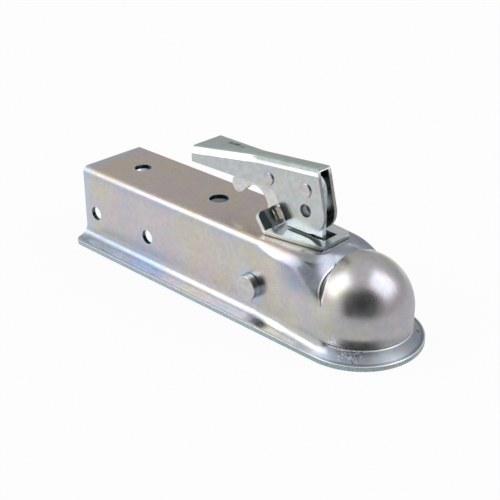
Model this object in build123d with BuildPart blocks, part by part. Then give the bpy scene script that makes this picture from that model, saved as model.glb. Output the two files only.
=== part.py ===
from build123d import *
from math import acos, asin, atan2, cos, degrees, radians, sin, sqrt, tan
import os

# Trailer coupling head, in millimetres. The origin lies under the middle of the ball
# socket, on the plane of the flange's underside. +X points forward, +Z up, +Y across.

# Sheet and tongue
sheet = 3.0
tongue_width = 50.8
wall_y = tongue_width / 2 + sheet
body_height = 55.6
rear_x = -232.7
bend_inside = 1.5
bend_outside = bend_inside + sheet

# Ball socket
socket_inside = 31.2
dome_radius = socket_inside + sheet
ball_z = 22.3
crease_x = -8.0
neck_rear_x = -60.0
neck_mid_x = -27.0
neck_mid_round = 15.0
neck_late_x = -14.0
neck_late_round = 24.0
neck_late_fall = 0.9
neck_late_sink = 1.5
neck_drop = 3.9
valley_z = 34.8
shoulder_angle = 48.0
step_shift = 2.0

# Flange
flange_margin = 7.6
flange_half = dome_radius + flange_margin
flange_corner = 8.0
foot_land = 0.2
foot_radius = flange_margin - foot_land

# Bolt holes
side_hole_radius = 5.15
side_hole_z = 22.1
side_hole_rear_x = -220.7
side_hole_front_x = -165.0
top_hole_rear_radius = 6.05
top_hole_rear_x = -199.6
top_hole_front_radius = 6.75
top_hole_front_x = -122.0

# Base plate with its upturned tab
plate_sheet = 3.0
plate_top = body_height + plate_sheet
plate_rear_x = -61.3
plate_front_x = -20.4
plate_rear_half = 19.4
plate_front_near = 12.4
plate_front_far = 15.8
plate_front_chamfer = 2.8
plate_corner = 1.0
tab_length = 12.2
tab_lean = 36.0
tab_corner = 3.5
tab_bend = 1.0
window_low = 2.7
window_high = 10.4
window_side_room = 3.2

# Handle
handle_sheet = 2.5
handle_half = 6.2
grip_half = 14.8
tail_x = -132.0
grip_start_x = -84.0
nose_x = -31.9
nose_foot_x = -21.4
web_nose_rise = 46.0
web_nose_z = plate_top + web_nose_rise
web_fall = 9.6
web_tail_z = web_nose_z - web_fall
cheek_floor_gap = 1.6
cheek_floor_z = plate_top + cheek_floor_gap
cheek_rear_x = -54.9
recess_x = -66.6
recess_drop = 24.3
recess_z = web_nose_z - recess_drop
tail_depth = 10.8
tail_floor_z = web_tail_z - tail_depth
nose_round = 14.0
heel_round = 6.0
recess_round = 20.0
tail_round = 5.0
grip_round = 40.0
handle_bend = 3.4

# Pivots and lock hole of the latch
pivot_x = -40.8
pivot_drop = 16.5
pivot_z = web_nose_z - pivot_drop
trigger_x = -71.2
trigger_drop = 17.7
trigger_z = web_nose_z - trigger_drop
lock_x = -40.0
lock_drop = 29.9
lock_z = web_nose_z - lock_drop
lock_radius = 4.35
rivet_radius = 3.5
rivet_head_radius = 4.9
trigger_rivet_radius = 3.0
trigger_head_radius = 4.4
head_height = 1.1
running_clearance = 0.05
side_play = 0.1

# Trigger
trigger_sheet = 2.7
tooth_grip = 0.5
tooth_root = 2.6
tooth_play = 0.3

# Stem, adjusting nut and ball clamp
stem_sheet = 3.4
stem_top_radius = 12.6
stem_travel = 6.0
slot_play = 0.3
shoulder_drop = 8.6
shoulder_z = body_height - shoulder_drop
rod_radius = 4.75
rod_end_z = 4.5
rod_x = pivot_x - 2.7
slot_margin = 2.6
slot_near_y = -5.0
slot_far_y = 8.0
clamp_sheet = 3.5
clamp_top_z = 26.0
clamp_gap = 0.8
clamp_half = wall_y - sheet - clamp_gap
clamp_nose_half = 15.0
clamp_hole_radius = 5.6
clamp_boss_radius = 10.0
clamp_ball_gap = 0.4
ball_radius = 29.37
pin_x = -65.0
pin_z = 22.0
pin_radius = 5.0
pin_head_radius = 8.5
pin_head = 5.4
pin_tail_radius = 7.0
pin_tail = 2.5
pin_seat_gap = 0.45
washer_radius = 8.6
washer_height = 2.0
nut_width = 14.3
nut_height = 8.0
spring_wire = 1.6
spring_radius = 6.7
spring_turns = 5
trigger_spring_wire = 1.0


def tangent_x(half, start_x, radius):
    """Where a line from (start_x, half) touches a circle of this radius round the origin."""
    reach = sqrt(start_x**2 + half**2)
    return radius * cos(atan2(half, start_x) - acos(radius / reach))


def channel_section(x, inset, bottom_z):
    """Upright section of the channel with its two bends, down to bottom_z."""
    half = wall_y - inset
    bend = bend_outside - inset
    side = body_height - bend_outside
    with BuildSketch(Plane.YZ.offset(x)) as section:
        with BuildLine():
            Polyline((-half, side), (-half, bottom_z), (half, bottom_z), (half, side))
            CenterArc((half - bend, side), bend, 0, 90)
            Line((half - bend, side + bend), (bend - half, side + bend))
            CenterArc((bend - half, side), bend, 90, 90)
        make_face()
    return section.sketch


def arch_section(x, half):
    """The neck's front section: an elliptical arch split where the channel has its edges."""
    rise = half - neck_drop
    valley = degrees(asin((valley_z - ball_z) / rise))
    stops = [0, valley, shoulder_angle, 180 - shoulder_angle, 180 - valley, 180]
    with BuildSketch(Plane.YZ.offset(x)) as section:
        with BuildLine():
            Line((-half, ball_z), (half, ball_z))
            for start, end in zip(stops, stops[1:]):
                EllipticalCenterArc((0, ball_z), half, rise, start, arc_size=end - start)
        make_face()
    return section.sketch


def shoulder_section(x, half, side_z, across, top_z):
    """Upright section of the neck with a quarter ellipse from each wall to the deck."""
    rise = top_z - side_z
    with BuildSketch(Plane.YZ.offset(x)) as section:
        with BuildLine():
            Polyline((-half, side_z), (-half, ball_z), (half, ball_z), (half, side_z))
            EllipticalCenterArc((half - across, side_z), across, rise, 0, arc_size=90)
            Line((half - across, top_z), (across - half, top_z))
            EllipticalCenterArc((across - half, side_z), across, rise, 90, arc_size=90)
        make_face()
    return section.sketch


def hollow_form(inset, overrun, step_x):
    """Channel, neck and dome as one solid, moved in by the sheet for the inside."""
    radius = dome_radius - inset
    with BuildPart() as cap:
        with Locations((0, 0, ball_z)):
            Sphere(radius, arc_size1=0, align=(Align.CENTER, Align.CENTER, Align.MIN))
        split(bisect_by=Plane.YZ.offset(step_x), keep=Keep.TOP)
    half = wall_y - inset
    neck_front_x = tangent_x(half, neck_rear_x, radius)
    neck_front_half = sqrt(radius**2 - neck_front_x**2)
    channel = channel_section(rear_x - overrun, inset, 0)
    neck_rear = channel_section(neck_rear_x, inset, ball_z)
    neck_front = arch_section(neck_front_x, neck_front_half)
    side_z = body_height - bend_outside
    widening = (neck_front_half - half) / (neck_front_x - neck_rear_x)
    sinking = (valley_z - side_z) / (neck_front_x - neck_rear_x)
    mid_run = neck_mid_x - neck_rear_x
    late_run = neck_late_x - neck_rear_x
    neck_mid = shoulder_section(
        neck_mid_x,
        half + widening * mid_run,
        side_z + sinking * mid_run,
        neck_mid_round - inset,
        body_height - inset,
    )
    neck_late = shoulder_section(
        neck_late_x,
        half + widening * late_run,
        side_z + sinking * late_run - neck_late_sink,
        neck_late_round - inset,
        body_height - neck_late_fall - inset,
    )
    with BuildPart() as form:
        extrude(channel, amount=neck_rear_x - rear_x + overrun)
        loft([neck_rear, neck_mid], ruled=True)
        loft([neck_mid, neck_late, neck_front])
        with BuildSketch(Plane.XY):
            Polygon(
                (neck_rear_x, half),
                (neck_rear_x, -half),
                (neck_front_x, -neck_front_half),
                (neck_front_x, neck_front_half),
                align=None,
            )
            Circle(radius)
        extrude(amount=ball_z)
        add(cap.part)
        split(bisect_by=Plane.XY.offset(body_height - inset), keep=Keep.BOTTOM)
    return form.part


def slot_sketch(z):
    """Opening for the stem in the deck and in the base plate."""
    with BuildSketch(Plane.XY.offset(z)) as slot:
        Polygon(
            (pivot_x - stem_top_radius - slot_margin, slot_near_y),
            (pivot_x + stem_top_radius + slot_margin, slot_near_y),
            (pivot_x + stem_top_radius + slot_margin, slot_far_y),
            (pivot_x - stem_top_radius - slot_margin, slot_far_y),
            align=None,
        )
    return slot.sketch


def near(edge, x, z):
    """Whether an edge's middle lies at this x and z, seen from the side."""
    middle = edge @ 0.5
    return abs(middle.X - x) < 0.01 and abs(middle.Z - z) < 0.01


def rivet(x, z, shank_radius, head_radius, grip):
    """Rivet along Y through both cheeks, with a low crowned head at each end."""
    with BuildPart() as body:
        with BuildSketch(Plane.XZ.offset(-grip / 2)):
            with Locations((x, z)):
                Circle(shank_radius)
        extrude(amount=grip)
        for side in (-1, 1):
            with BuildSketch(Plane(origin=(x, side * grip / 2, z), z_dir=(0, side, 0))):
                Circle(head_radius)
            extrude(amount=head_height)
        rims = body.edges().filter_by(GeomType.CIRCLE).group_by(Axis.Y)
        fillet(rims[0] + rims[-1], head_height * 0.6)
    return body.part


# Coupler body, one pressing
outside_form = hollow_form(0, 0, crease_x)
inside_form = hollow_form(sheet, 1, crease_x + step_shift)
with BuildPart() as coupler_body:
    add(outside_form)
    with BuildSketch(Plane.XY):
        with BuildLine():
            Line((rear_x, -flange_half), (0, -flange_half))
            CenterArc((0, 0), flange_half, -90, 180)
            Polyline((0, flange_half), (rear_x, flange_half), (rear_x, -flange_half))
        make_face()
    extrude(amount=sheet)
    tail_corners = coupler_body.edges().filter_by(Axis.Z).filter_by(
        lambda e: abs(e.center().Y) > wall_y + 1 and e.center().X < rear_x + 1
    )
    fillet(tail_corners, flange_corner)
    flange_level = coupler_body.edges().filter_by_position(Axis.Z, sheet - 0.01, sheet + 0.01)
    foot = flange_level.filter_by(
        lambda e: abs((e @ 0.5).Y) < dome_radius and rear_x + 1 < e.center().X < dome_radius + 1
    )
    fillet(foot, foot_radius)
    add(inside_form, mode=Mode.SUBTRACT)
    underside = coupler_body.edges().filter_by_position(Axis.Z, -0.01, 0.01)
    mouth = underside.filter_by(
        lambda e: abs((e @ 0.5).Y) < dome_radius and rear_x + 1 < e.center().X < dome_radius
    )
    fillet(mouth, foot_radius + sheet)
    with BuildSketch(Plane.XZ.offset(-wall_y - 1)):
        with Locations((side_hole_rear_x, side_hole_z), (side_hole_front_x, side_hole_z)):
            Circle(side_hole_radius)
        with Locations((pin_x, pin_z)):
            Circle(pin_radius + running_clearance)
    extrude(amount=2 * wall_y + 2, mode=Mode.SUBTRACT)
    with BuildSketch(Plane.XY.offset(ball_z)):
        with Locations((top_hole_rear_x, 0)):
            Circle(top_hole_rear_radius)
        with Locations((top_hole_front_x, 0)):
            Circle(top_hole_front_radius)
    extrude(amount=body_height, mode=Mode.SUBTRACT)
    extrude(slot_sketch(ball_z), amount=body_height, mode=Mode.SUBTRACT)
coupler_body.part.label = "coupler_body"


# Base plate, one pressing lying on the deck, its tab turned up at the rear
inner_half = handle_half - handle_sheet
trigger_near_y = side_play - inner_half
tab_side = Plane(
    origin=(plate_rear_x, 0, plate_top),
    x_dir=(0, 1, 0),
    z_dir=(cos(radians(tab_lean)), 0, sin(radians(tab_lean))),
)
tab_top = tab_side.from_local_coords((0, tab_length, 0))
tab_back = tab_side.from_local_coords((0, tab_length, -plate_sheet))
outer_bend_x = plate_rear_x - plate_sheet * tan(radians(90 - tab_lean) / 2)
with BuildPart() as base_plate:
    with BuildSketch(Plane.XY.offset(body_height)):
        Polygon(
            (plate_rear_x, -plate_rear_half),
            (plate_front_x, -plate_front_near),
            (plate_front_x, plate_front_far - plate_front_chamfer),
            (plate_front_x - plate_front_chamfer, plate_front_far),
            (plate_rear_x, plate_rear_half),
            align=None,
        )
    extrude(amount=plate_sheet)
    upright = base_plate.edges().filter_by(Axis.Z)
    fillet(upright.filter_by(lambda e: near(e, plate_front_x, body_height + plate_sheet / 2)), plate_corner)
    with BuildSketch(Plane.XZ):
        Polygon(
            (plate_rear_x, body_height),
            (plate_rear_x, plate_top),
            (tab_top.X, tab_top.Z),
            (tab_back.X, tab_back.Z),
            (outer_bend_x, body_height),
            align=None,
        )
    extrude(amount=plate_rear_half, both=True)
    plate_bend = base_plate.edges().filter_by(Axis.Y)
    fillet(plate_bend.filter_by(lambda e: near(e, plate_rear_x, plate_top)), tab_bend)
    plate_bend = base_plate.edges().filter_by(Axis.Y)
    fillet(plate_bend.filter_by(lambda e: near(e, outer_bend_x, body_height)), tab_bend + plate_sheet)
    tip = (tab_top + tab_back) / 2
    fillet(base_plate.edges().filter_by(lambda e: near(e, tip.X, tip.Z)), tab_corner)
    with BuildSketch(tab_side):
        Polygon(
            (trigger_near_y - window_side_room, window_low),
            (trigger_near_y + trigger_sheet + window_side_room, window_low),
            (trigger_near_y + trigger_sheet + window_side_room, window_high),
            (trigger_near_y - window_side_room, window_high),
            align=None,
        )
    extrude(amount=-2 * plate_sheet, mode=Mode.SUBTRACT)
    extrude(slot_sketch(body_height), amount=plate_sheet, mode=Mode.SUBTRACT)
base_plate.part.label = "base_plate"


# Handle, one pressing: an inverted channel whose grip end flares
def handle_plan(inset):
    """Plan of the handle, narrow over its cheeks and wider at the grip."""
    half = handle_half - inset
    end = grip_half - inset
    with BuildSketch(Plane.XY.offset(cheek_floor_z - 1)) as plan:
        Polygon(
            (nose_foot_x + 1, -half),
            (nose_foot_x + 1, half),
            (grip_start_x, half),
            (tail_x - inset, end),
            (tail_x - inset, -end),
            (grip_start_x, -half),
            align=None,
        )
        fillet(plan.vertices().filter_by(lambda v: abs(v.X - grip_start_x) < 0.01), grip_round)
    return plan.sketch


web_slope = (web_nose_z - web_tail_z) / (nose_x - tail_x)
with BuildSketch(Plane.XZ) as handle_side:
    Polygon(
        (nose_x, web_nose_z),
        (nose_foot_x, cheek_floor_z),
        (cheek_rear_x, cheek_floor_z),
        (recess_x, recess_z),
        (grip_start_x, recess_z),
        (tail_x, tail_floor_z),
        (tail_x, web_tail_z),
        align=None,
    )
    corners = handle_side.vertices()
    fillet(corners.filter_by(lambda v: abs(v.X - nose_foot_x) < 0.01), nose_round)
    fillet(corners.filter_by(lambda v: abs(v.X - cheek_rear_x) < 0.01), heel_round)
    fillet(corners.filter_by(lambda v: abs(v.X - recess_x) < 0.01), recess_round)
    fillet(corners.filter_by(lambda v: abs(v.Z - tail_floor_z) < 0.01), tail_round)
with BuildSketch(Plane.XZ) as handle_void:
    Polygon(
        (nose_x + 20, web_nose_z - handle_sheet + 20 * web_slope),
        (tail_x - 20, web_tail_z - handle_sheet - 20 * web_slope),
        (tail_x - 20, cheek_floor_z - 1),
        (nose_x + 20, cheek_floor_z - 1),
        align=None,
    )
with BuildPart() as handle_inside:
    extrude(handle_plan(handle_sheet), amount=web_nose_z)
    extrude(handle_void.sketch, amount=grip_half, both=True, mode=Mode.INTERSECT)
    web_edges = handle_inside.faces().sort_by(Axis.Z)[-1].edges()
    fillet(web_edges.filter_by(lambda e: abs((e @ 0.5).Y) > 1), handle_bend - handle_sheet)
with BuildPart() as latch_handle:
    extrude(handle_plan(0), amount=web_nose_z)
    extrude(handle_side.sketch, amount=grip_half, both=True, mode=Mode.INTERSECT)
    web_edges = latch_handle.faces().sort_by(Axis.Z)[-1].edges()
    fillet(web_edges.filter_by(lambda e: abs((e @ 0.5).Y) > 1), handle_bend)
    add(handle_inside.part, mode=Mode.SUBTRACT)
    with BuildSketch(Plane.XZ.offset(-grip_half)):
        with Locations((pivot_x, pivot_z)):
            Circle(rivet_radius)
        with Locations((trigger_x, trigger_z)):
            Circle(trigger_rivet_radius)
        with Locations((lock_x, lock_z)):
            Circle(lock_radius)
    extrude(amount=2 * grip_half, mode=Mode.SUBTRACT)
latch_handle.part.label = "latch_handle"

pivot_rivet = rivet(pivot_x, pivot_z, rivet_radius, rivet_head_radius, 2 * handle_half)
pivot_rivet.label = "pivot_rivet"
trigger_rivet = rivet(
    trigger_x, trigger_z, trigger_rivet_radius, trigger_head_radius, 2 * handle_half
)
trigger_rivet.label = "trigger_rivet"

# Trigger, a flat plate beside the near cheek. Its sloped tooth enters the tab's window
# from behind, and the spring holds it there.
def from_rivet(along, up):
    """A point of the trigger's outline, measured from its rivet."""
    return (trigger_x + along, trigger_z + up)


tooth_high = window_high - tooth_play
tooth_low = tooth_high - tooth_root
tooth_base = -plate_sheet - tooth_play
tooth_outline = [
    tab_side.from_local_coords((0, rise, reach))
    for rise, reach in (
        (window_low, tooth_base),
        (tooth_low, tooth_base),
        (tooth_low, tooth_grip - plate_sheet),
        (tooth_high, tooth_base),
        (tab_length + tooth_play, tooth_base),
        (tab_length + tooth_play, tooth_play),
    )
]
lobe_end = from_rivet(-32.3, -8.4)
leg_rear = from_rivet(-2.7, -19.7)
with BuildPart() as trigger:
    with BuildSketch(Plane.XZ.offset(-trigger_near_y - trigger_sheet)):
        with BuildLine():
            Polyline(
                leg_rear,
                from_rivet(-2.0, -25.0),
                *[(corner.X, corner.Z) for corner in tooth_outline],
                from_rivet(10.7, -15.0),
                from_rivet(13.2, -8.9),
                from_rivet(10.7, 4.1),
                from_rivet(4.2, 8.1),
                from_rivet(-8.8, 6.6),
                from_rivet(-25.8, 0.6),
                lobe_end,
            )
            Spline(
                lobe_end,
                from_rivet(-34.2, -13.9),
                from_rivet(-30.4, -18.2),
                from_rivet(-24.0, -15.8),
                from_rivet(-17.8, -10.6),
                from_rivet(-13.3, -9.4),
                from_rivet(-8.0, -11.7),
                leg_rear,
            )
        make_face()
        with Locations((trigger_x, trigger_z)):
            Circle(trigger_rivet_radius + running_clearance, mode=Mode.SUBTRACT)
    extrude(amount=trigger_sheet)
trigger.part.label = "trigger"

# Stem, a flat eye forged down to a threaded rod
stem_near_y = side_play - inner_half
stem_y = stem_near_y + stem_sheet / 2
with BuildPart() as stem:
    with BuildSketch(Plane.XZ.offset(-stem_near_y - stem_sheet)):
        with Locations((pivot_x, pivot_z)):
            Circle(stem_top_radius)
        Polygon(
            (pivot_x - stem_top_radius, pivot_z),
            (pivot_x + stem_top_radius, pivot_z),
            (pivot_x + stem_top_radius, shoulder_z),
            (pivot_x - stem_top_radius, shoulder_z),
            align=None,
        )
        with Locations((pivot_x, pivot_z + stem_travel / 2)):
            SlotCenterToCenter(
                stem_travel, 2 * (rivet_radius + slot_play), rotation=90, mode=Mode.SUBTRACT
            )
        with Locations((lock_x, lock_z)):
            Circle(lock_radius + slot_play, mode=Mode.SUBTRACT)
    extrude(amount=stem_sheet)
    with BuildSketch(Plane.XY.offset(rod_end_z)):
        with Locations((rod_x, stem_y)):
            Circle(rod_radius)
    extrude(amount=shoulder_z - rod_end_z + 2)
stem.part.label = "stem"

# Ball clamp, a pressed channel hinged on the cross pin with a cup behind the ball
ball_seat_radius = ball_radius + clamp_ball_gap
clamp_rear_x = pin_x - clamp_boss_radius


def clamp_plan(inset):
    """Plan of the clamp, as wide as the channel at its pin and narrower at its nose."""
    with BuildSketch(Plane.XY) as plan:
        Polygon(
            (clamp_rear_x - 1, clamp_half - inset),
            (clamp_rear_x - 1, inset - clamp_half),
            (-50.0, inset - clamp_half),
            (-18.0, inset - clamp_nose_half),
            (-18.0, clamp_nose_half - inset),
            (-50.0, clamp_half - inset),
            align=None,
        )
    return plan.sketch


with BuildPart() as clamp_hollow:
    extrude(clamp_plan(clamp_sheet), amount=clamp_top_z - clamp_sheet)
    with Locations((0, 0, ball_z)):
        Sphere(ball_seat_radius + clamp_sheet, mode=Mode.SUBTRACT)
with BuildPart() as ball_clamp:
    with BuildSketch(Plane.XZ):
        with BuildLine():
            Polyline(
                (pin_x, clamp_top_z),
                (-24.0, clamp_top_z),
                (-18.0, 2.5),
                (-30.0, 2.5),
                (-48.0, 9.0),
                (pin_x, pin_z - clamp_boss_radius),
            )
            ThreePointArc(
                (pin_x, pin_z - clamp_boss_radius),
                (clamp_rear_x, pin_z),
                (pin_x - 9.0, clamp_top_z),
            )
            Line((pin_x - 9.0, clamp_top_z), (pin_x, clamp_top_z))
        make_face()
    extrude(amount=clamp_half, both=True)
    extrude(clamp_plan(0), amount=clamp_top_z, mode=Mode.INTERSECT)
    with Locations((0, 0, ball_z)):
        Sphere(ball_seat_radius, mode=Mode.SUBTRACT)
    add(clamp_hollow.part, mode=Mode.SUBTRACT)
    with BuildSketch(Plane.XZ.offset(-clamp_half)):
        with Locations((pin_x, pin_z)):
            Circle(pin_radius + running_clearance)
    extrude(amount=2 * clamp_half, mode=Mode.SUBTRACT)
    with BuildSketch(Plane.XY.offset(clamp_top_z - clamp_sheet - 1)):
        with Locations((rod_x, stem_y)):
            Circle(clamp_hole_radius)
    extrude(amount=clamp_sheet + 2, mode=Mode.SUBTRACT)
ball_clamp.part.label = "ball_clamp"

# Cross pin with a shouldered head on the near wall and an upset tail on the far one
with BuildPart() as cross_pin:
    with BuildSketch(Plane.XZ.offset(-wall_y - pin_seat_gap)):
        with Locations((pin_x, pin_z)):
            Circle(pin_radius)
    extrude(amount=2 * (wall_y + pin_seat_gap))
    with BuildSketch(Plane.XZ.offset(wall_y + pin_seat_gap)):
        with Locations((pin_x, pin_z)):
            Circle(pin_head_radius)
    extrude(amount=pin_head)
    with BuildSketch(Plane.XZ.offset(-wall_y - pin_seat_gap - pin_tail)):
        with Locations((pin_x, pin_z)):
            Circle(pin_tail_radius)
    extrude(amount=pin_tail)
    ends = cross_pin.edges().filter_by(GeomType.CIRCLE).group_by(Axis.Y)
    fillet(ends[0] + ends[-1], 0.8)
cross_pin.part.label = "cross_pin"

# Nut and washer under the clamp, spring and its washer above
clamp_under_z = clamp_top_z - clamp_sheet
with BuildPart() as clamp_washer:
    with BuildSketch(Plane.XY.offset(clamp_under_z - washer_height)):
        with Locations((rod_x, stem_y)):
            Circle(washer_radius)
            Circle(rod_radius + running_clearance, mode=Mode.SUBTRACT)
    extrude(amount=washer_height)
clamp_washer.part.label = "clamp_washer"

nut_top_z = clamp_under_z - washer_height
with BuildPart() as adjusting_nut:
    with BuildSketch(Plane.XY.offset(nut_top_z - nut_height)):
        with Locations((rod_x, stem_y)):
            RegularPolygon(nut_width / 2, 6, major_radius=False)
            Circle(rod_radius + running_clearance, mode=Mode.SUBTRACT)
    extrude(amount=nut_height)
adjusting_nut.part.label = "adjusting_nut"

with BuildPart() as spring_washer:
    with BuildSketch(Plane.XY.offset(shoulder_z - washer_height)):
        with Locations((rod_x, stem_y)):
            Circle(washer_radius)
            Circle(rod_radius + running_clearance, mode=Mode.SUBTRACT)
    extrude(amount=washer_height)
spring_washer.part.label = "spring_washer"

spring_room = shoulder_z - washer_height - clamp_top_z
spring_rise = spring_room - spring_wire - 0.2
spring_foot_z = clamp_top_z + spring_wire / 2 + 0.1
with BuildPart() as clamp_spring:
    with BuildLine(Plane((rod_x, stem_y, spring_foot_z))) as coil:
        Helix(spring_rise / spring_turns, spring_rise, spring_radius)
    with BuildSketch(Plane(origin=coil.line @ 0, z_dir=coil.line % 0)):
        Circle(spring_wire / 2)
    sweep(is_frenet=True)
clamp_spring.part.label = "clamp_spring"

# Spacer that holds the stem's eye against the near cheek
spacer_near_y = stem_near_y + stem_sheet + side_play
with BuildPart() as pivot_spacer:
    with BuildSketch(Plane.XZ.offset(-inner_half)):
        with Locations((pivot_x, pivot_z)):
            Circle(rivet_radius + 2.5)
            Circle(rivet_radius + running_clearance, mode=Mode.SUBTRACT)
    extrude(amount=inner_half - spacer_near_y)
pivot_spacer.part.label = "pivot_spacer"

# Trigger spring, a torsion coil round the trigger's rivet
coil_near_y = trigger_near_y + trigger_sheet + side_play
coil_room = inner_half - coil_near_y - side_play
coil_rise = coil_room - trigger_spring_wire
coil_radius = trigger_rivet_radius + trigger_spring_wire / 2 + 0.3
with BuildPart() as trigger_spring:
    with BuildLine() as coil:
        Helix(
            coil_rise / 2,
            coil_rise,
            coil_radius,
            center=(trigger_x, coil_near_y + trigger_spring_wire / 2, trigger_z),
            direction=(0, 1, 0),
        )
    with BuildSketch(Plane(origin=coil.line @ 0, z_dir=coil.line % 0)):
        Circle(trigger_spring_wire / 2)
    sweep(is_frenet=True)
trigger_spring.part.label = "trigger_spring"

pieces = {
    "coupler_body": coupler_body.part,
    "base_plate": base_plate.part,
    "latch_handle": latch_handle.part,
    "pivot_rivet": pivot_rivet,
    "trigger_rivet": trigger_rivet,
    "trigger": trigger.part,
    "stem": stem.part,
    "ball_clamp": ball_clamp.part,
    "cross_pin": cross_pin.part,
    "clamp_washer": clamp_washer.part,
    "adjusting_nut": adjusting_nut.part,
    "spring_washer": spring_washer.part,
    "clamp_spring": clamp_spring.part,
    "pivot_spacer": pivot_spacer.part,
    "trigger_spring": trigger_spring.part,
}
os.makedirs("parts", exist_ok=True)
for name, piece in pieces.items():
    export_step(piece, f"parts/{name}.step")
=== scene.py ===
import bpy
from math import cos, radians, sin, tan
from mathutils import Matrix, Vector

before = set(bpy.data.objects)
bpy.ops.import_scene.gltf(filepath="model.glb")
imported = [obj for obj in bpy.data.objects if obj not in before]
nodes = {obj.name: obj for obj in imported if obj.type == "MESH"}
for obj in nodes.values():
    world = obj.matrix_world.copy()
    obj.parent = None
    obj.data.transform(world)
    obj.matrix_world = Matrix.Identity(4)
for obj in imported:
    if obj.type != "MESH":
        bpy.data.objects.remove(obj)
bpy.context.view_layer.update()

# a trailer coupling head: pressed zinc-plated steel, seen from its ball end on a white sweep
scene = bpy.context.scene
scene.view_settings.view_transform = "Standard"


# camera
cameraPlace = {
    "location": (0.34733, -0.45802, 0.34938),
    "tilt": 63.092,        # degrees up from straight down
    "turn": 43.885,        # degrees round Z
    "lens": 76.79,
    "sensor": 36.0,
    "nearest": 0.01,
}


def placeCamera(place):
    bpy.ops.object.select_all(action="DESELECT")
    bpy.ops.object.camera_add(
        location=place["location"],
        rotation=(radians(place["tilt"]), 0, radians(place["turn"])),
    )
    camera = bpy.context.object
    camera.name = "shotCamera"
    camera.data.lens = place["lens"]
    camera.data.sensor_width = place["sensor"]
    camera.data.clip_start = place["nearest"]
    scene.camera = camera


placeCamera(cameraPlace)
print("camera placed")


# helpers for node trees: a value goes in as a socket or as a plain number
def addNode(tree, kind, **values):
    node = tree.nodes.new(kind)
    column, row = divmod(len(tree.nodes), 8)
    node.location = (column * 220, -row * 260)
    for name, value in values.items():
        setattr(node, name, value)
    return node


def feed(tree, socket, value):
    if isinstance(value, bpy.types.NodeSocket):
        tree.links.new(value, socket)
    elif socket.type == "RGBA" and len(value) == 3:
        socket.default_value = (*value, 1)
    else:
        socket.default_value = value


def compute(tree, operation, *values):
    node = addNode(tree, "ShaderNodeMath", operation=operation)
    for socket, value in zip(node.inputs, values):
        feed(tree, socket, value)
    return node.outputs[0]


def vector(tree, operation, first, second=(0, 0, 0), out="Vector"):
    node = addNode(tree, "ShaderNodeVectorMath", operation=operation)
    feed(tree, node.inputs[0], first)
    feed(tree, node.inputs[1], second)
    return node.outputs[out]


def scaled(tree, arrow, factor):
    node = addNode(tree, "ShaderNodeVectorMath", operation="SCALE")
    feed(tree, node.inputs[0], arrow)
    feed(tree, node.inputs["Scale"], factor)
    return node.outputs[0]


def unsigned(tree, value):
    return compute(tree, "ABSOLUTE", value)


def inverse(tree, mask):
    return compute(tree, "SUBTRACT", 1.0, mask)


def both(tree, *masks):      # where every mask is 1
    total = masks[0]
    for mask in masks[1:]:
        total = compute(tree, "MULTIPLY", total, mask)
    return total


def spread(tree, value, low, high, toLow=0.0, toHigh=1.0):      # a smooth step from low to high
    node = addNode(tree, "ShaderNodeMapRange", interpolation_type="SMOOTHSTEP")
    names = ("Value", "From Min", "From Max", "To Min", "To Max")
    for name, given in zip(names, (value, low, high, toLow, toHigh)):
        feed(tree, node.inputs[name], given)
    return node.outputs["Result"]


def curved(tree, high, low, power, scale):      # high less low to a power, and 0 where low is higher
    gap = compute(tree, "MAXIMUM", compute(tree, "SUBTRACT", high, low), 0.0)
    return compute(tree, "MULTIPLY", compute(tree, "POWER", gap, power), scale)


def noiseOf(tree, point, scale, detail):      # scale counts waves in a millimetre
    node = addNode(tree, "ShaderNodeTexNoise")
    feed(tree, node.inputs["Vector"], point)
    feed(tree, node.inputs["Scale"], scale)
    node.inputs["Detail"].default_value = detail
    return node.outputs["Fac"]


def mixColor(tree, factor, first, second, kind="MIX"):
    node = addNode(tree, "ShaderNodeMix", data_type="RGBA", blend_type=kind)
    feed(tree, node.inputs[0], factor)
    feed(tree, node.inputs[6], first)
    feed(tree, node.inputs[7], second)
    return node.outputs[2]


def multiplied(tree, color, other):
    return mixColor(tree, 1.0, color, other, "MULTIPLY")


def rampOf(tree, value, stops):
    node = addNode(tree, "ShaderNodeValToRGB")
    feed(tree, node.inputs["Fac"], value)
    ramp = node.color_ramp
    while len(ramp.elements) < len(stops):
        ramp.elements.new(0.5)
    for element, (place, color) in zip(ramp.elements, stops):
        element.position = place
        element.color = (*color, 1)
    return node.outputs["Color"]


def newGroup(name, inputs, outputs):      # rows of name, socket kind, and default for inputs
    group = bpy.data.node_groups.new(name, "ShaderNodeTree")
    for label, kind, default in inputs:
        socket = group.interface.new_socket(name=label, in_out="INPUT", socket_type=kind)
        socket.default_value = default
    for label, kind in outputs:
        group.interface.new_socket(name=label, in_out="OUTPUT", socket_type=kind)
    start = addNode(group, "NodeGroupInput")
    end = addNode(group, "NodeGroupOutput")
    return group, start.outputs, end.inputs


def useGroup(tree, group, **values):
    node = addNode(tree, "ShaderNodeGroup", node_tree=group)
    for name, value in values.items():
        feed(tree, node.inputs[name], value)
    return node.outputs


# zinc plate: a base tone with slow patches of colour cast, a mottle and a fine crystal grain
zincPlate = {
    "shift": (61.0, -23.0, 17.0),
    "casts": [
        (0.30, (0.86, 0.96, 1.12)),        # blue
        (0.42, (1.05, 0.95, 0.98)),        # pink
        (0.50, (1.0, 1.0, 1.0)),
        (0.60, (1.05, 1.0, 0.84)),        # yellow
        (0.72, (1.05, 0.95, 0.98)),        # pink
    ],
    "castDetail": 2.0,
    "mottle": (0.25, 5.0), "mottleShade": (0.3, 0.7, 0.86, 1.1),
    "grain": (1.6, 2.0), "grainShade": (0.2, 0.8, 0.93, 1.05), "grainHeight": 0.006,
    "dulling": (0.09, 4.0), "dullingShare": (0.3, 0.7, 0.85, 1.15),
}


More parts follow.
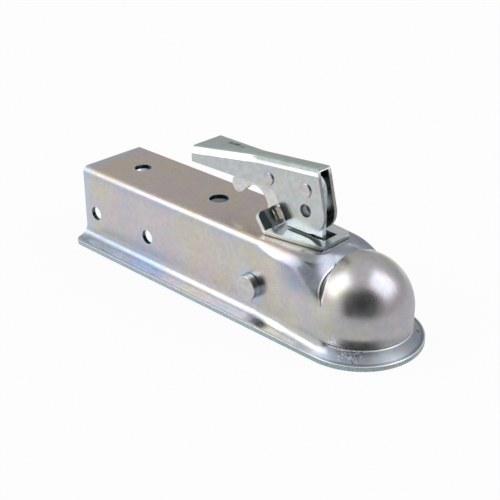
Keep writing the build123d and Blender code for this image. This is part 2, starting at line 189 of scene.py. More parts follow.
def makePlating(plate):
    group, given, made = newGroup(
        "zincPlating",
        [
            ("Point", "NodeSocketVector", (0, 0, 0)),
            ("Base", "NodeSocketColor", (0.5, 0.5, 0.5, 1)),
            ("PatchSize", "NodeSocketFloat", 50.0),
            ("Cast", "NodeSocketFloat", 0.6),
            ("Mottle", "NodeSocketFloat", 0.5),
            ("Roughness", "NodeSocketFloat", 0.3),
        ],
        [("Color", "NodeSocketColor"), ("Roughness", "NodeSocketFloat"), ("Height", "NodeSocketFloat")],
    )
    point = given["Point"]
    shifted = vector(group, "ADD", point, plate["shift"])
    patchScale = compute(group, "DIVIDE", 1.0, given["PatchSize"])
    cast = rampOf(group, noiseOf(group, shifted, patchScale, plate["castDetail"]), plate["casts"])
    color = mixColor(group, given["Cast"], given["Base"], multiplied(group, given["Base"], cast))
    mottle = spread(group, noiseOf(group, point, *plate["mottle"]), *plate["mottleShade"])
    color = mixColor(group, given["Mottle"], color, multiplied(group, color, mottle))
    grain = noiseOf(group, point, *plate["grain"])
    feed(group, made["Color"], multiplied(group, color, spread(group, grain, *plate["grainShade"])))
    dulling = spread(group, noiseOf(group, point, *plate["dulling"]), *plate["dullingShare"])
    feed(group, made["Roughness"], compute(group, "MULTIPLY", dulling, given["Roughness"]))
    feed(group, made["Height"], compute(group, "MULTIPLY", grain, plate["grainHeight"]))
    return group


# a mark with a ragged rim round a place, 1 inside and 0 outside
markShape = {"noise": (0.7, 4.0), "swing": 3.0, "edge": (1.0, 0.6)}


def makeMark(shape):
    group, given, made = newGroup(
        "raggedMark",
        [
            ("Point", "NodeSocketVector", (0, 0, 0)),
            ("Place", "NodeSocketVector", (0, 0, 0)),
            ("Radius", "NodeSocketFloat", 2.0),
            ("Ragged", "NodeSocketFloat", 0.5),
        ],
        [("Mask", "NodeSocketFloat")],
    )
    away = vector(group, "DISTANCE", given["Point"], given["Place"], out="Value")
    share = compute(group, "DIVIDE", away, given["Radius"])
    wander = compute(group, "SUBTRACT", noiseOf(group, given["Point"], *shape["noise"]), 0.5)
    ragged = compute(group, "MULTIPLY", given["Ragged"], shape["swing"])
    share = compute(group, "MULTIPLY_ADD", wander, ragged, share)
    feed(group, made["Mask"], spread(group, share, *shape["edge"]))
    return group


# a thin line from one place to another; Flat leaves out the axis that it is seen along
strokeCore = 0.3        # the share of the width that is full


def makeStroke(core):
    group, given, made = newGroup(
        "stroke",
        [
            ("Point", "NodeSocketVector", (0, 0, 0)),
            ("Start", "NodeSocketVector", (0, 0, 0)),
            ("End", "NodeSocketVector", (1, 0, 0)),
            ("Flat", "NodeSocketVector", (1, 1, 1)),
            ("Width", "NodeSocketFloat", 0.4),
        ],
        [("Mask", "NodeSocketFloat")],
    )
    fromStart = [vector(group, "SUBTRACT", given[name], given["Start"]) for name in ("End", "Point")]
    run, reach = [vector(group, "MULTIPLY", arrow, given["Flat"]) for arrow in fromStart]
    share = compute(
        group, "DIVIDE",
        vector(group, "DOT_PRODUCT", reach, run, out="Value"),
        vector(group, "DOT_PRODUCT", run, run, out="Value"),
    )
    nearest = scaled(group, run, spread(group, share, 0.0, 1.0))
    away = vector(group, "DISTANCE", reach, nearest, out="Value")
    full = compute(group, "MULTIPLY", given["Width"], core)
    feed(group, made["Mask"], spread(group, away, given["Width"], full))
    return group


# a ring round a hole or pin; Flat leaves out the axis that the hole runs along
def makeRim():
    group, given, made = newGroup(
        "holeRim",
        [
            ("Point", "NodeSocketVector", (0, 0, 0)),
            ("Flat", "NodeSocketVector", (1, 1, 0)),
            ("Place", "NodeSocketVector", (0, 0, 0)),
            ("Radius", "NodeSocketFloat", 5.0),
            ("Width", "NodeSocketFloat", 1.2),
        ],
        [("Mask", "NodeSocketFloat")],
    )
    offset = vector(group, "SUBTRACT", given["Point"], given["Place"])
    flat = vector(group, "MULTIPLY", offset, given["Flat"])
    beyond = compute(group, "SUBTRACT", vector(group, "LENGTH", flat, out="Value"), given["Radius"])
    feed(group, made["Mask"], spread(group, beyond, given["Width"], 0.0))
    return group


# a sheared edge: dull, greyer, streaked across the sheet
shearStreaks = {
    "stretch": (1.0, 1.0, 0.25), "noise": (2.2, 3.0), "shade": (0.3, 0.7, 0.75, 1.25), "dulling": 0.22,
}


def makeShear(streaks):
    group, given, made = newGroup(
        "shearedEdge",
        [
            ("Point", "NodeSocketVector", (0, 0, 0)),
            ("Mask", "NodeSocketFloat", 0.0),
            ("Color", "NodeSocketColor", (0.5, 0.5, 0.5, 1)),
            ("Edge", "NodeSocketColor", (0.4, 0.4, 0.4, 1)),
            ("Roughness", "NodeSocketFloat", 0.3),
        ],
        [("Color", "NodeSocketColor"), ("Roughness", "NodeSocketFloat")],
    )
    stretched = vector(group, "MULTIPLY", given["Point"], streaks["stretch"])
    shade = spread(group, noiseOf(group, stretched, *streaks["noise"]), *streaks["shade"])
    streaky = multiplied(group, given["Edge"], shade)
    feed(group, made["Color"], mixColor(group, given["Mask"], given["Color"], streaky))
    duller = compute(group, "MULTIPLY_ADD", given["Mask"], streaks["dulling"], given["Roughness"])
    feed(group, made["Roughness"], duller)
    return group


plating = makePlating(zincPlate)
markGroup = makeMark(markShape)
strokeGroup = makeStroke(strokeCore)
rimGroup = makeRim()
shearGroup = makeShear(shearStreaks)


# each finish starts from the plating, in millimetres, and ends in one metal shader
def startFinish(name, finish):
    material = bpy.data.materials.new(name)
    material.use_nodes = True
    tree = material.node_tree
    tree.nodes.clear()
    coords = addNode(tree, "ShaderNodeTexCoord")
    point = scaled(tree, coords.outputs["Object"], 1000.0)
    places = addNode(tree, "ShaderNodeSeparateXYZ")
    feed(tree, places.inputs[0], point)
    facing = addNode(tree, "ShaderNodeSeparateXYZ")
    feed(tree, facing.inputs[0], coords.outputs["Normal"])
    plate = useGroup(
        tree, plating, Point=point, Base=finish["base"], PatchSize=finish["patchSize"],
        Cast=finish["cast"], Mottle=finish["mottle"], Roughness=finish["roughness"],
    )
    return {
        "material": material, "tree": tree, "point": point,
        "x": places.outputs["X"], "y": places.outputs["Y"], "z": places.outputs["Z"],
        "ny": facing.outputs["Y"], "nz": facing.outputs["Z"],
        "color": plate["Color"], "roughness": plate["Roughness"], "height": plate["Height"],
    }


def endFinish(made):
    tree = made["tree"]
    shader = addNode(tree, "ShaderNodeBsdfPrincipled")
    shader.inputs["Metallic"].default_value = 1.0
    bump = addNode(tree, "ShaderNodeBump")
    bump.inputs["Distance"].default_value = 0.001        # heights are in millimetres
    feed(tree, bump.inputs["Height"], made["height"])
    feed(tree, shader.inputs["Base Color"], made["color"])
    feed(tree, shader.inputs["Roughness"], made["roughness"])
    feed(tree, shader.inputs["Normal"], bump.outputs["Normal"])
    output = addNode(tree, "ShaderNodeOutputMaterial")
    feed(tree, output.inputs["Surface"], shader.outputs["BSDF"])
    return made["material"]


def tinted(made, mask, tint):      # multiplies the colour where the mask is 1
    tree = made["tree"]
    made["color"] = mixColor(tree, mask, made["color"], multiplied(tree, made["color"], tint))


def painted(made, mask, color):      # lays another colour over where the mask is 1
    made["color"] = mixColor(made["tree"], mask, made["color"], color)


def raised(made, height, mask=1.0):      # adds to the height where the mask is 1
    made["height"] = compute(made["tree"], "MULTIPLY_ADD", height, mask, made["height"])


def sheared(made, mask, edge):
    shear = useGroup(
        made["tree"], shearGroup, Point=made["point"], Mask=mask, Color=made["color"],
        Edge=edge, Roughness=made["roughness"],
    )
    made["color"], made["roughness"] = shear["Color"], shear["Roughness"]


def maskOf(made, group, **values):      # a mark, stroke or rim on this finish
    return useGroup(made["tree"], group, Point=made["point"], **values)["Mask"]


# coupler body: pairs are where a mask starts and where it is full
bodyFinish = {
    "base": (0.575, 0.58, 0.595), "patchSize": 34.0, "cast": 0.9, "mottle": 0.35, "roughness": 0.30,
    "levelFacing": (0.5, 0.8), "upFacing": (0.6, 0.9), "sideFacing": (0.5, 0.8),
    "domeStart": (-4.0, 10.0),
    "deckHeight": (51.0, 54.5), "deckTint": (1.05, 0.97, 0.91),
    "wallFront": (-2.0, -40.0), "wallTint": (1.02, 0.99, 0.97),
    "insideHalf": (25.9, 25.2), "insideTop": (53.2, 52.4), "insideFront": (-12.0, -22.0),
    "insideShadeTint": (0.34, 0.33, 0.31),
    "flangeHeight": (12.0, 5.0), "flangeTint": (0.96, 1.02, 1.09),
    "tailStart": (-120.0, -190.0), "tailTint": (0.74, 0.84, 0.98),
    "bendHeights": (46.6, 54.6), "bendFall": 1.8, "bendFront": (-30.0, -50.0),
    "bendFace": (45.0, 50.0), "bendTint": (0.92, 0.98, 1.08),
}


def addBodyMasks(made, finish):
    tree = made["tree"]
    made["deck"] = spread(tree, made["z"], *finish["deckHeight"])
    made["levelFace"] = spread(tree, made["nz"], *finish["levelFacing"])
    made["upward"] = spread(tree, made["nz"], *finish["upFacing"])
    made["sideFace"] = spread(tree, unsigned(tree, made["ny"]), *finish["sideFacing"])
    made["front"] = spread(tree, made["x"], *finish["domeStart"])
    # distance from the middle line, or from the ball's axis round the front
    flatPoint = addNode(tree, "ShaderNodeCombineXYZ")
    feed(tree, flatPoint.inputs["X"], compute(tree, "MAXIMUM", made["x"], 0.0))
    feed(tree, flatPoint.inputs["Y"], made["y"])
    made["outward"] = vector(tree, "LENGTH", flatPoint.outputs[0], out="Value")


def tintFaces(made, finish):      # the inside of the channel gets painted shade, the flange and tail are cooler
    tree, x, z = made["tree"], made["x"], made["z"]
    rearward = spread(tree, x, *finish["wallFront"])
    tinted(made, rearward, finish["wallTint"])
    tinted(made, both(tree, made["deck"], made["levelFace"], rearward), finish["deckTint"])
    inside = both(
        tree,
        spread(tree, unsigned(tree, made["y"]), *finish["insideHalf"]),
        spread(tree, z, *finish["insideTop"]),
        spread(tree, x, *finish["insideFront"]),
    )
    # painted shade darkens the inside of the channel
    tinted(made, inside, finish["insideShadeTint"])
    low = spread(tree, z, *finish["flangeHeight"])
    tinted(made, low, finish["flangeTint"])
    tinted(made, both(tree, low, spread(tree, x, *finish["tailStart"])), finish["tailTint"])


def widenDeckBend(made, finish):      # the bend beside the deck runs a little down the wall
    tree, z = made["tree"], made["z"]
    rise = spread(tree, z, *finish["bendHeights"], finish["bendFall"], 0.0)
    raised(made, rise, spread(tree, made["x"], *finish["bendFront"]))
    onBend = both(tree, spread(tree, z, *finish["bendFace"]), inverse(tree, made["levelFace"]))
    tinted(made, onBend, finish["bendTint"])


# pale blue rims where holes were punched, round the pin and at the rear edge; hole walls get painted shade
bodyHoles = {
    "rimPaleAndHighlight": (0.50, 0.60, 0.72), "wallShadeColor": (0.11, 0.115, 0.11), "wallWidth": 1.0,
    "sidePlaces": [(-220.7, 0, 22.1), (-165.0, 0, 22.1)], "sideRadius": 5.15, "sideRim": 2.0,
    "topPlaces": [((-199.6, 0, 0), 6.05), ((-122.0, 0, 0), 6.75)], "topRim": 2.2,
    "pinPlace": (-65.0, 0, 22.0), "pinRadius": 8.5, "pinRim": 5.0,
    "rearBand": (-224.0, -231.0), "rearShare": 0.7,
}


def paintHoles(made, finish):
    tree = made["tree"]
    sideFaces = [made["sideFace"]]
    topFaces = [made["deck"], made["levelFace"]]
    holes = [
        (place, finish["sideRadius"], finish["sideRim"], (1, 0, 1), sideFaces)
        for place in finish["sidePlaces"]
    ]
    holes += [
        (place, radius, finish["topRim"], (1, 1, 0), topFaces)
        for place, radius in finish["topPlaces"]
    ]
    pin = (finish["pinPlace"], finish["pinRadius"], finish["pinRim"], (1, 0, 1), sideFaces)
    for place, radius, width, flat, faces in [*holes, pin]:
        rim = maskOf(made, rimGroup, Flat=flat, Place=place, Radius=radius, Width=width)
        painted(made, both(tree, *faces, rim), finish["rimPaleAndHighlight"])
    rearEdge = spread(tree, made["x"], *finish["rearBand"])
    painted(made, compute(tree, "MULTIPLY", rearEdge, finish["rearShare"]), finish["rimPaleAndHighlight"])
    # painted shade on the hole walls
    for place, radius, _, flat, faces in holes:
        wall = maskOf(made, rimGroup, Flat=flat, Place=place, Radius=radius, Width=finish["wallWidth"])
        painted(made, both(tree, wall, inverse(tree, faces[-1])), finish["wallShadeColor"])


# the dome's crown reads as round
domeCrown = {
    "radius": 33.3, "facing": (0.985, 0.995), "height": (55.3, 55.5), "start": (-8.0, -7.8),
}


def roundCrown(made, finish):
    tree = made["tree"]
    crown = both(
        tree,
        spread(tree, made["nz"], *finish["facing"]),
        spread(tree, made["z"], *finish["height"]),
        spread(tree, made["x"], *finish["start"]),
    )
    flatPoint = vector(tree, "MULTIPLY", made["point"], (1, 1, 0))
    away = vector(tree, "DOT_PRODUCT", flatPoint, flatPoint, out="Value")
    raised(made, compute(tree, "DIVIDE", away, -2.0 * finish["radius"]), crown)


# the flange rolls over at its rim, and the dome's foot flares in two steps, with painted shade below the
# step
domeFoot = {
    "half": 41.8, "rollWidth": 4.3, "rollFall": 0.06,
    "top": 19.0, "line": 10.2, "step": (-0.2, 0.4), "flare": 0.115, "flarePower": 1.5,
    "toeBottom": 3.4, "toeFlare": 0.13, "toeShadeTint": (0.66, 0.70, 0.78),
    "rollFrom": (38.6, 39.4), "rollTo": (41.0, 40.4), "rollShare": 0.6, "rollShadeTint": (0.4, 0.42, 0.46),
    "lip": (-0.9, -0.4), "lipHighlightColor": (0.92, 0.95, 0.98),
    "lineDrop": 0.7, "lineWidth": (0.9, 0.2), "lineReach": (37.5, 36.5), "stepHighlightColor": (0.95, 0.96, 1.0),
}


def shapeFoot(made, finish):
    tree, z = made["tree"], made["z"]
    front, upward, outward = made["front"], made["upward"], made["outward"]
    half, line = finish["half"], finish["line"]
    raised(made, curved(tree, outward, half - finish["rollWidth"], 2.0, -finish["rollFall"]), upward)
    above = spread(tree, z, *[line + part for part in finish["step"]])
    flare = curved(tree, finish["top"], z, finish["flarePower"], finish["flare"])
    raised(made, flare, both(tree, front, above))
    below = both(tree, front, inverse(tree, above))
    raised(made, curved(tree, z, finish["toeBottom"], 2.0, -finish["toeFlare"]), below)
    # painted shade darkens and cools the foot below the step
    tinted(made, below, finish["toeShadeTint"])


def paintFoot(made, finish):      # painted shade on the flange's roll, a painted highlight on its lip, a painted highlight line at the step
    tree, z = made["tree"], made["z"]
    front, upward, outward = made["front"], made["upward"], made["outward"]
    half, line = finish["half"], finish["line"]
    rollShade = both(
        tree, front, upward,
        spread(tree, outward, *finish["rollFrom"]), spread(tree, outward, *finish["rollTo"]),
    )
    # painted shade on the flange's roll near its rim
    tinted(made, compute(tree, "MULTIPLY", rollShade, finish["rollShare"]), finish["rollShadeTint"])
    lip = spread(tree, outward, *[half + part for part in finish["lip"]])
    # painted highlight along the flange's lip
    painted(made, both(tree, lip, upward), finish["lipHighlightColor"])
    fromLine = unsigned(tree, compute(tree, "SUBTRACT", z, line - finish["lineDrop"]))
    stepHighlight = both(
        tree, spread(tree, fromLine, *finish["lineWidth"]), front,
        spread(tree, outward, *finish["lineReach"]),
    )
    # painted highlight line at the foot's step
    painted(made, stepHighlight, finish["stepHighlightColor"])


# the crease where the neck meets the dome: painted shade on the neck's side, a painted highlight on the
# rim, a painted shade line in the crease, a painted highlight on the shoulder
neckCrease = {
    "x": -8.0, "top": 50.0, "curve": 0.0135,
    "turnStart": -30.0, "turnSoft": 8.0, "slope": 0.24,
    "neckHeight": (33.0, 53.0), "neckEnd": (0.0, -0.6),
    "shadeHeight": (29.0, 45.0), "shadeStart": (-46.0, -22.0), "shadeTint": (0.60, 0.68, 0.77),
    "lineWidth": (0.5, 0.15), "lineHeight": (33.0, 37.0),
    "shoulderStart": (0.1, 0.8), "shoulderEnd": (3.2, 1.6), "shoulderFade": (55.0, 40.0),
    "shoulderHighlightColor": (0.85, 0.82, 0.83),
    "rimAway": 0.9, "rimPaleAndHighlight": (0.95, 0.97, 1.0),
    "darkFade": (56.0, 42.0, 0.35, 1.0), "darkBottom": (31.5, 33.5), "darkScuffAndShade": (0.07, 0.08, 0.10),
}


def creaseNeck(made, finish):
    tree, x, z = made["tree"], made["x"], made["z"]
    bend = curved(tree, finish["top"], z, 2.0, finish["curve"])
    across = compute(tree, "SUBTRACT", compute(tree, "SUBTRACT", x, finish["x"]), bend)
    # before the crease, the neck's side turns towards the dome
    behind = spread(tree, across, *finish["neckEnd"])
    run = compute(tree, "SUBTRACT", x, finish["turnStart"])
    run = compute(tree, "SMOOTH_MAX", run, 0.0, finish["turnSoft"])
    onNeck = both(tree, spread(tree, z, *finish["neckHeight"]), behind)
    raised(made, compute(tree, "MULTIPLY", run, -finish["slope"]), onNeck)
    shade = both(
        tree, spread(tree, z, *finish["shadeHeight"]), behind,
        spread(tree, x, *finish["shadeStart"]),
    )
    tinted(made, shade, finish["shadeTint"])
    high = spread(tree, z, *finish["lineHeight"])
    shoulder = both(
        tree, spread(tree, across, *finish["shoulderStart"]),
        spread(tree, across, *finish["shoulderEnd"]), high,
    )
    fading = spread(tree, z, *finish["shoulderFade"])
    # painted highlight on the shoulder beside the crease
    painted(made, both(tree, shoulder, fading), finish["shoulderHighlightColor"])
    fromRim = unsigned(tree, compute(tree, "ADD", across, finish["rimAway"]))
    # painted highlight along the dome's rim at the crease
    painted(made, both(tree, spread(tree, fromRim, *finish["lineWidth"]), high), finish["rimPaleAndHighlight"])
    darkLine = both(
        tree, spread(tree, unsigned(tree, across), *finish["lineWidth"]),
        spread(tree, z, *finish["darkFade"]), spread(tree, z, *finish["darkBottom"]),
    )
    # painted shade: a dark line in the crease
    painted(made, darkLine, finish["darkScuffAndShade"])


# scuffs at the foot, a few scratches on the near side, and a dark spot
bodyMarks = {
    "scuffs": [((8, -34, 11), 5.0), ((14, -32, 10), 6.5), ((20, -29, 7), 6.0)], "scuffRagged": 0.5,
    "darkStretch": (0.6, 0.6, 2.2), "darkNoise": (0.5, 4.0), "darkShare": (0.54, 0.62),
    "darkScuffAndShade": (0.12, 0.13, 0.15),
    "paleStretch": (1.0, 1.0, 2.0), "paleNoise": (0.32, 5.0), "paleWidth": (0.045, 0.0),
    "paleColor": (0.9, 0.93, 0.97),
    "spotPlace": (28.5, 24.1, 4.3), "spotRadius": 1.5, "spotRagged": 0.4, "spotColor": (0.10, 0.095, 0.09),
    "nearSide": (-8.0, -10.0, 0.0, 0.6), "scratchColor": (0.95, 0.97, 1.0),
    "scratches": [
        ((12.8, -29.2, 34.7), (16.5, -25.5, 38.1), 0.40),
        ((-23.2, -28.6, 49.8), (-16.2, -28.3, 48.2), 0.26),
        ((-16.2, -28.3, 48.2), (-9.0, -29.2, 43.1), 0.26),
        ((-17.8, -31.8, 43.5), (-12.8, -30.3, 44.2), 0.26),
        ((-12.8, -30.3, 44.2), (-6.2, -29.5, 40.3), 0.24),
    ],
}


def markBody(made, finish):
    tree, point = made["tree"], made["point"]
    stretched = [vector(tree, "MULTIPLY", point, finish[name]) for name in ("darkStretch", "paleStretch")]
    darkLines = spread(tree, noiseOf(tree, stretched[0], *finish["darkNoise"]), *finish["darkShare"])
    wander = compute(tree, "SUBTRACT", noiseOf(tree, stretched[1], *finish["paleNoise"]), 0.5)
    paleLines = spread(tree, unsigned(tree, wander), *finish["paleWidth"])
    for place, radius in finish["scuffs"]:
        scuff = maskOf(made, markGroup, Place=place, Radius=radius, Ragged=finish["scuffRagged"])
        painted(made, both(tree, scuff, darkLines), finish["darkScuffAndShade"])
        painted(made, both(tree, scuff, paleLines), finish["paleColor"])
    nearSide = spread(tree, made["y"], *finish["nearSide"])
    for start, end, width in finish["scratches"]:
        scratch = maskOf(made, strokeGroup, Start=start, End=end, Flat=(1, 0, 1), Width=width)
        painted(made, both(tree, scratch, nearSide), finish["scratchColor"])
    spot = maskOf(
        made, markGroup, Place=finish["spotPlace"], Radius=finish["spotRadius"],
        Ragged=finish["spotRagged"],
    )
    painted(made, spot, finish["spotColor"])


# the flange's sheared outer edge, with a yellow smear at the front
flangeEdge = {
    "height": (3.1, 2.8), "facing": (0.6, 0.3), "reach": (39.5, 40.5), "edgeColor": (0.44, 0.54, 0.57),
    "smearStart": (36.6, -19.8, 1.6), "smearEnd": (39.0, -14.8, 1.6), "smearWidth": 1.3,
    "smearShare": 0.8, "smearColor": (0.50, 0.47, 0.30),
}


def shearFlange(made, finish):
    tree = made["tree"]
    edge = both(
        tree,
        spread(tree, made["z"], *finish["height"]),
        spread(tree, unsigned(tree, made["nz"]), *finish["facing"]),
        spread(tree, made["outward"], *finish["reach"]),
    )
    sheared(made, edge, finish["edgeColor"])
    smear = maskOf(
        made, strokeGroup, Start=finish["smearStart"], End=finish["smearEnd"],
        Width=finish["smearWidth"],
    )
    painted(made, compute(tree, "MULTIPLY", smear, finish["smearShare"]), finish["smearColor"])


def finishBody():
    made = startFinish("bodyZinc", bodyFinish)
    addBodyMasks(made, bodyFinish)
    tintFaces(made, bodyFinish)
    paintHoles(made, bodyHoles)
    widenDeckBend(made, bodyFinish)
    roundCrown(made, domeCrown)
    shapeFoot(made, domeFoot)
    paintFoot(made, domeFoot)
    creaseNeck(made, neckCrease)
    markBody(made, bodyMarks)
    shearFlange(made, flangeEdge)
    return endFinish(made)


# latch handle: depth is measured down from the sloping top
handleFinish = {
    "base": (0.54, 0.58, 0.59), "patchSize": 16.0, "cast": 0.5, "mottle": 0.55, "roughness": 0.20,
    "noseX": -31.9, "noseTop": 104.6, "slope": 0.0959,
    "topDepth": (2.0, 0.6), "topTint": (0.97, 1.07, 1.01),
    "edgeFacing": (0.5, 0.2), "edgeDepth": (3.0, 4.0), "edgeColor": (0.40, 0.41, 0.40),
    "bendDepth": (0.8, 6.5), "bendFall": 2.8,
    "stainStart": (-114.0, 3.8, 96.7), "stainEnd": (-101.0, 2.4, 98.0), "stainWidth": 2.6,
    "stainNoise": (0.22, 5.0), "stainShare": (0.36, 0.5), "stainColor": (0.11, 0.11, 0.075),
}


def finishHandle(finish):
    made = startFinish("handleZinc", finish)
    tree = made["tree"]
    rise = compute(tree, "SUBTRACT", made["x"], finish["noseX"])
    top = compute(tree, "MULTIPLY_ADD", rise, finish["slope"], finish["noseTop"])
    depth = compute(tree, "SUBTRACT", top, made["z"])
    tinted(made, spread(tree, depth, *finish["topDepth"]), finish["topTint"])
    endFacing = spread(tree, unsigned(tree, made["ny"]), *finish["edgeFacing"])
    sheared(made, both(tree, endFacing, spread(tree, depth, *finish["edgeDepth"])), finish["edgeColor"])
    # the bend beside the web runs further down the cheek
    raised(made, spread(tree, depth, *finish["bendDepth"], 0.0, finish["bendFall"]))
    stain = maskOf(
        made, strokeGroup, Start=finish["stainStart"], End=finish["stainEnd"],
        Width=finish["stainWidth"],
    )
    ragged = spread(tree, noiseOf(tree, made["point"], *finish["stainNoise"]), *finish["stainShare"])
    painted(made, both(tree, stain, ragged), finish["stainColor"])
    return endFinish(made)


# base plate: a pale edge, with a painted highlight at its top and painted shadow at its foot
plateFinish = {
    "base": (0.70, 0.77, 0.79), "patchSize": 16.0, "cast": 0.5, "mottle": 0.55, "roughness": 0.20,
    "edgeHeight": (58.7, 58.4), "edgeFacing": (0.5, 0.2), "edgeColor": (0.62, 0.66, 0.68),
    "lightHeight": (57.6, 58.1), "highlightColor": (0.95, 0.98, 1.0),
    "darkHeight": (56.5, 56.0), "darkScuffAndShade": (0.12, 0.14, 0.15),
}


def finishPlate(finish):
    made = startFinish("plateZinc", finish)
    tree, z = made["tree"], made["z"]
    edge = both(
        tree, spread(tree, z, *finish["edgeHeight"]),
        spread(tree, unsigned(tree, made["nz"]), *finish["edgeFacing"]),
    )
    painted(made, edge, finish["edgeColor"])
    # painted highlight along the top of the edge, painted shadow along its foot
    painted(made, both(tree, edge, spread(tree, z, *finish["lightHeight"])), finish["highlightColor"])
    painted(made, both(tree, edge, spread(tree, z, *finish["darkHeight"])), finish["darkScuffAndShade"])
    return endFinish(made)


triggerFinish = {
    "base": (0.69, 0.715, 0.70), "patchSize": 14.0, "cast": 0.35, "mottle": 0.9, "roughness": 0.26,
    "edgeFacing": (0.6, 0.3), "edgeColor": (0.22, 0.22, 0.21),
}


def finishTrigger(finish):
    made = startFinish("triggerZinc", finish)
    tree = made["tree"]
    edge = spread(tree, unsigned(tree, made["ny"]), *finish["edgeFacing"])
    # the sheared edge is painted dark: its own dull grey, deepened with painted shade for the dark outline
    sheared(made, edge, finish["edgeColor"])
    return endFinish(made)


# stem: a flat strap above the shoulder and a threaded rod below it
stemFinish = {
    "base": (0.62, 0.68, 0.70), "patchSize": 16.0, "cast": 0.4, "mottle": 0.5, "roughness": 0.28,
    "edgeFacing": (0.6, 0.3), "edgeColor": (0.62, 0.69, 0.72),
    "shoulder": (46.8, 47.2), "pitch": 1.27, "threadDepth": 0.9,
}


def finishStem(finish):
    made = startFinish("stemZinc", finish)
    tree, z = made["tree"], made["z"]
    flat = spread(tree, z, *finish["shoulder"])
    edge = spread(tree, unsigned(tree, made["ny"]), *finish["edgeFacing"])
    sheared(made, both(tree, flat, edge), finish["edgeColor"])
    wave = compute(tree, "FRACT", compute(tree, "DIVIDE", z, finish["pitch"]))
    thread = unsigned(tree, compute(tree, "SUBTRACT", wave, 0.5))
    raised(made, compute(tree, "MULTIPLY", thread, finish["threadDepth"]), inverse(tree, flat))
    return endFinish(made)


# the other pieces have the plating alone
plainFinishes = {
    "rivetZinc": {
        "base": (0.62, 0.61, 0.60), "patchSize": 9.0, "cast": 0.5, "mottle": 1.0, "roughness": 0.36,
    },
    "pinZinc": {
        "base": (0.60, 0.60, 0.61), "patchSize": 14.0, "cast": 0.5, "mottle": 0.8, "roughness": 0.26,
    },
    "clampZinc": {
        "base": (0.46, 0.47, 0.48), "patchSize": 24.0, "cast": 0.7, "mottle": 0.8, "roughness": 0.34,
    },
    "washerSteel": {
        "base": (0.44, 0.45, 0.46), "patchSize": 10.0, "cast": 0.6, "mottle": 0.9, "roughness": 0.36,
    },
    "springSteel": {
        "base": (0.27, 0.27, 0.28), "patchSize": 7.0, "cast": 0.5, "mottle": 0.9, "roughness": 0.30,
    },
}

materials = {name: endFinish(startFinish(name, finish)) for name, finish in plainFinishes.items()}
materials["bodyZinc"] = finishBody()
materials["handleZinc"] = finishHandle(handleFinish)
materials["plateZinc"] = finishPlate(plateFinish)
materials["triggerZinc"] = finishTrigger(triggerFinish)
materials["stemZinc"] = finishStem(stemFinish)

finishOf = {
    "coupler_body": "bodyZinc",
    "base_plate": "plateZinc",
    "latch_handle": "handleZinc",
    "trigger": "triggerZinc",
    "stem": "stemZinc",
    "cross_pin": "pinZinc",
    "pivot_rivet": "rivetZinc",
    "trigger_rivet": "rivetZinc",
    "pivot_spacer": "washerSteel",
    "clamp_washer": "washerSteel",
    "spring_washer": "washerSteel",
    "adjusting_nut": "washerSteel",
    "ball_clamp": "clampZinc",
    "clamp_spring": "springSteel",
    "trigger_spring": "springSteel",
}
for nodeName, piece in nodes.items():
    piece.data.materials.clear()
    piece.data.materials.append(materials[finishOf[nodeName]])
print("finishes applied")


# floor: pale and white to the camera; where the metal mirrors it, it glows as painted light, nearly white
# at the rear and dimmer at the ball end
sweep = {
    "size": 6.0,
    "drop": 0.0002,        # metres below the piece, so that they never touch
    "color": (0.80, 0.80, 0.80),
    "whiteSeen": 0.93,
    "mirrored": (0.92, 0.68),        # brightness in the metal, at the rear and at the ball end
    "mirroredX": (-0.09, 0.03),
}


def makeFloor(setup):
    bpy.ops.object.select_all(action="DESELECT")
    bpy.ops.mesh.primitive_plane_add(size=setup["size"], location=(0, 0, -setup["drop"]))
    floor = bpy.context.object
    floor.name = "paleFloor"
    material = bpy.data.materials.new("paleFloor")
    material.use_nodes = True
    tree = material.node_tree
    tree.nodes.clear()
    paint = addNode(tree, "ShaderNodeBsdfDiffuse")
    paint.inputs["Color"].default_value = (*setup["color"], 1)
    white = addNode(tree, "ShaderNodeEmission")
    path = addNode(tree, "ShaderNodeLightPath")
    coords = addNode(tree, "ShaderNodeTexCoord")
    places = addNode(tree, "ShaderNodeSeparateXYZ")
    feed(tree, places.inputs[0], coords.outputs["Object"])
    glow = spread(tree, places.outputs["X"], *setup["mirroredX"], *setup["mirrored"])
    seenGlow = compute(tree, "MAXIMUM", path.outputs["Is Camera Ray"], glow)
    feed(tree, white.inputs["Strength"], seenGlow)
    seen = compute(tree, "MULTIPLY", path.outputs["Is Camera Ray"], setup["whiteSeen"])
    share = compute(tree, "MAXIMUM", path.outputs["Is Glossy Ray"], seen)
    mix = addNode(tree, "ShaderNodeMixShader")
    feed(tree, mix.inputs["Fac"], share)
    feed(tree, mix.inputs[1], paint.outputs["BSDF"])
    feed(tree, mix.inputs[2], white.outputs["Emission"])
    output = addNode(tree, "ShaderNodeOutputMaterial")
    feed(tree, output.inputs["Surface"], mix.outputs["Shader"])
    floor.data.materials.append(material)


# the room: a soft box on the left and on the right, and a dark side between them
room = {
    "horizon": (0.47, 0.84),        # brightness on the right and on the left
    "horizonAim": (-0.3, 0.8),
    "brightFrom": -118,        # azimuth of the brighter half, in degrees
    "zenith": 0.64,
    "zenithRise": (0.2, 0.95),
    "boxes": [
        # azimuth, elevation, half width, half height, edge (degrees), strength
        (-131, 47, 18.5, 22.5, 8, 1.75),
        (35, 47, 21, 22, 10, 1.45),
    ],
    "darkSide": (-48, 27, 38, 34, 24),        # azimuth, elevation, half width, half height, edge
    "darkness": 0.92,
}
boxAhead = (0.02, 0.1)        # keeps a box out of the opposite side of the sky


def direction(azimuth, elevation):
    turn, rise = radians(azimuth), radians(elevation)
    return Vector((cos(turn) * cos(rise), sin(turn) * cos(rise), sin(rise)))


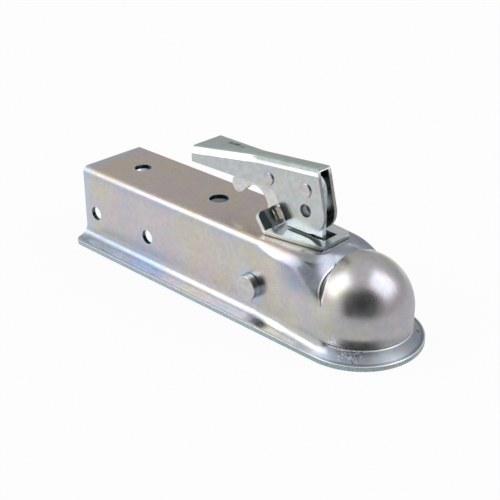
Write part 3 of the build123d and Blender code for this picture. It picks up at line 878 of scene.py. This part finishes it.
def softBox(tree, ray, azimuth, elevation, halfWidth, halfHeight, edge):
    middle = direction(azimuth, elevation)
    right = direction(azimuth + 90, 0)
    up = direction(azimuth, elevation + 90)
    ahead = vector(tree, "DOT_PRODUCT", ray, tuple(middle), out="Value")
    sides = []
    for axis, half in ((right, halfWidth), (up, halfHeight)):
        along = vector(tree, "DOT_PRODUCT", ray, tuple(axis), out="Value")
        aside = unsigned(tree, compute(tree, "DIVIDE", along, ahead))
        outer, inner = tan(radians(half + edge / 2)), tan(radians(half - edge / 2))
        sides.append(spread(tree, aside, outer, inner))
    return both(tree, *sides, spread(tree, ahead, *boxAhead))


def makeRoom(setup):
    world = bpy.data.worlds.new("studio")
    scene.world = world
    world.use_nodes = True
    tree = world.node_tree
    tree.nodes.clear()
    coords = addNode(tree, "ShaderNodeTexCoord")
    ray = coords.outputs["Generated"]
    split = addNode(tree, "ShaderNodeSeparateXYZ")
    feed(tree, split.inputs[0], ray)
    aim = vector(tree, "DOT_PRODUCT", ray, tuple(direction(setup["brightFrom"], 0)), out="Value")
    low = spread(tree, aim, *setup["horizonAim"], *setup["horizon"])
    sky = spread(tree, split.outputs["Z"], *setup["zenithRise"], low, setup["zenith"])
    shade = compute(tree, "MULTIPLY", softBox(tree, ray, *setup["darkSide"]), setup["darkness"])
    total = both(tree, sky, inverse(tree, shade))
    for *place, strength in setup["boxes"]:
        total = compute(tree, "MULTIPLY_ADD", softBox(tree, ray, *place), strength, total)
    background = addNode(tree, "ShaderNodeBackground")
    feed(tree, background.inputs["Strength"], total)
    white = addNode(tree, "ShaderNodeBackground")
    path = addNode(tree, "ShaderNodeLightPath")
    mix = addNode(tree, "ShaderNodeMixShader")
    feed(tree, mix.inputs["Fac"], path.outputs["Is Camera Ray"])
    feed(tree, mix.inputs[1], background.outputs["Background"])
    feed(tree, mix.inputs[2], white.outputs["Background"])
    for plain in (background, white):
        plain.inputs["Color"].default_value = (1, 1, 1, 1)
    output = addNode(tree, "ShaderNodeOutputWorld")
    feed(tree, output.inputs["Surface"], mix.outputs["Shader"])


makeFloor(sweep)
makeRoom(room)
print("floor and light set")
